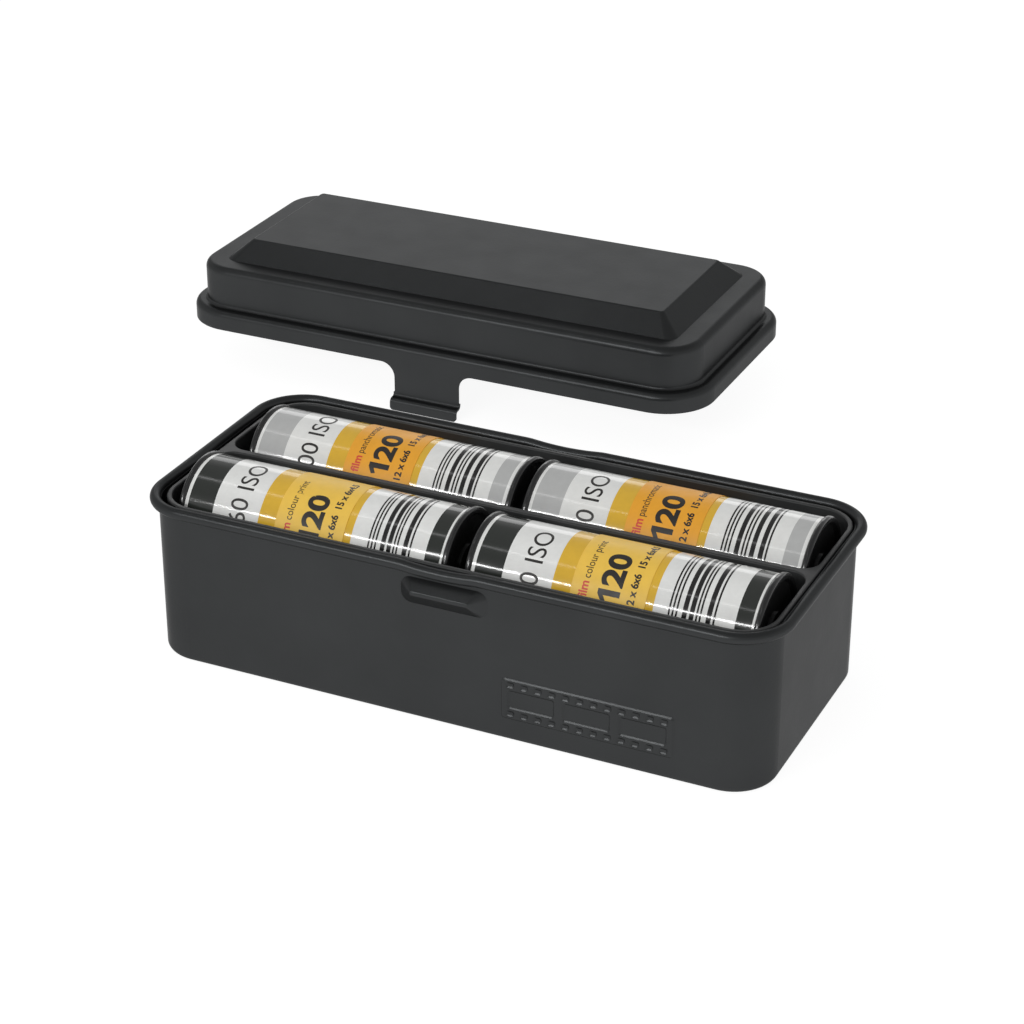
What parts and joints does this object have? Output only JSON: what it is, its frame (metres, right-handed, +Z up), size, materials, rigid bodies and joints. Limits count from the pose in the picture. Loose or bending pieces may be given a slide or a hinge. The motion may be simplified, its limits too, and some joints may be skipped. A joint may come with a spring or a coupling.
{
  "type": "film storage case",
  "caption": "Rectangular pressed-steel case with a rolled rim, a moulded tray holding rolls of 120 film, and a stepped, bevelled lift-off lid with two spring tabs.",
  "frame": {"origin": "centre of the case's underside, on the surface it stands on", "axes": "+X along the case to the viewer's right, +Y to the back, +Z up"},
  "size_m": [0.2243, 0.2153, 0.0422],
  "materials": {
    "black_steel": "satin black powder coat on pressed steel",
    "tray_plastic": "moulded, slightly satin",
    "spool_plastic": "glossy moulded black",
    "film": "dark film base, wound",
    "splice_tape": "paper tape",
    "backing_paper": "printed and varnished paper",
    "seal_band": "printed and varnished paper band"
  },
  "bodies": {
    "case": {"case_body": "black_steel"},
    "lid": {"lid": "black_steel"},
    "tray": {"tray": "tray_plastic"},
    "roll_front_left": {"roll_front_left_spool": "spool_plastic", "roll_front_left_film": "film", "roll_front_left_splice_tape": "splice_tape", "roll_front_left_backing_paper": "backing_paper", "roll_front_left_seal_band": "seal_band"},
    "roll_front_right": {"roll_front_right_spool": "spool_plastic", "roll_front_right_film": "film", "roll_front_right_splice_tape": "splice_tape", "roll_front_right_backing_paper": "backing_paper", "roll_front_right_seal_band": "seal_band"},
    "roll_back_left": {"roll_back_left_spool": "spool_plastic", "roll_back_left_film": "film", "roll_back_left_splice_tape": "splice_tape", "roll_back_left_backing_paper": "backing_paper", "roll_back_left_seal_band": "seal_band"},
    "roll_back_right": {"roll_back_right_spool": "spool_plastic", "roll_back_right_film": "film", "roll_back_right_splice_tape": "splice_tape", "roll_back_right_backing_paper": "backing_paper", "roll_back_right_seal_band": "seal_band"}
  },
  "joints": [
    {"name": "lid_lift", "type": "slide", "parent": "case", "child": "lid", "axis": [0.4025, -0.7799, 0.4793], "range_m": [0, 0.1836]},
    {"name": "tray_lift", "type": "slide", "parent": "case", "child": "tray", "axis": [0, 0, 1], "range_m": [0, 0.04]},
    {"name": "roll_front_left_lift", "type": "slide", "parent": "tray", "child": "roll_front_left", "axis": [0, 0, 1], "range_m": [0, 0.022]},
    {"name": "roll_front_right_lift", "type": "slide", "parent": "tray", "child": "roll_front_right", "axis": [0, 0, 1], "range_m": [0, 0.022]},
    {"name": "roll_back_left_lift", "type": "slide", "parent": "tray", "child": "roll_back_left", "axis": [0, 0, 1], "range_m": [0, 0.022]},
    {"name": "roll_back_right_lift", "type": "slide", "parent": "tray", "child": "roll_back_right", "axis": [0, 0, 1], "range_m": [0, 0.022]}
  ]
}
